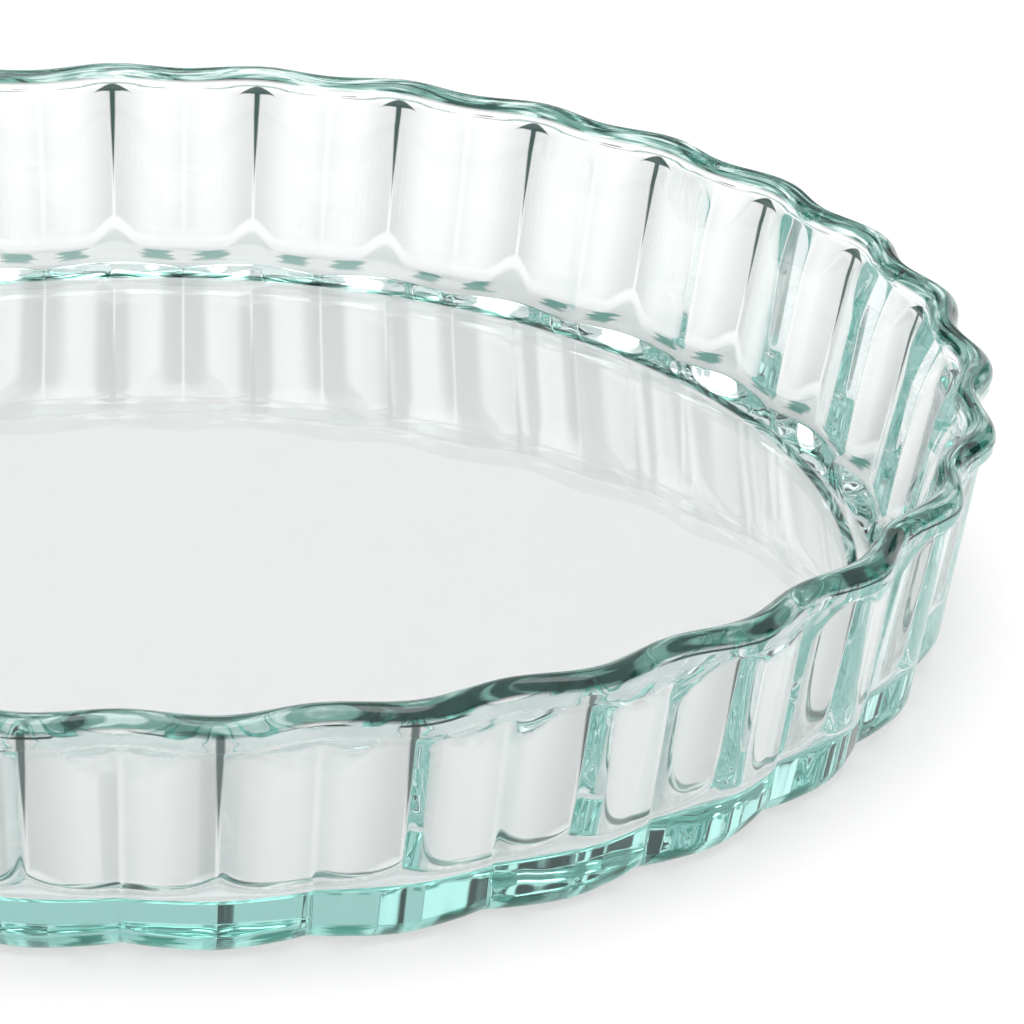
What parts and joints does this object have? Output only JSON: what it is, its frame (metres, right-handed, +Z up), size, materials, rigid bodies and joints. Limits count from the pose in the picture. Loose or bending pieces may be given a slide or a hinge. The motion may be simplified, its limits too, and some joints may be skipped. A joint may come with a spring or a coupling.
{
  "type": "round glass baking dish",
  "caption": "Round shallow baking dish of pale green glass with a flat base, a flared fluted wall and a wavy rounded rim.",
  "frame": {"origin": "centre of the underside, on the surface that the dish stands on", "axes": "+Z up along the dish's axis; -Y through the crest of an outer lobe"},
  "size_m": [0.2784, 0.28, 0.0415],
  "materials": {
    "glass": "clear gloss, pale green through thick edges"
  },
  "bodies": {
    "root": {"dish": "glass"}
  },
  "joints": []
}
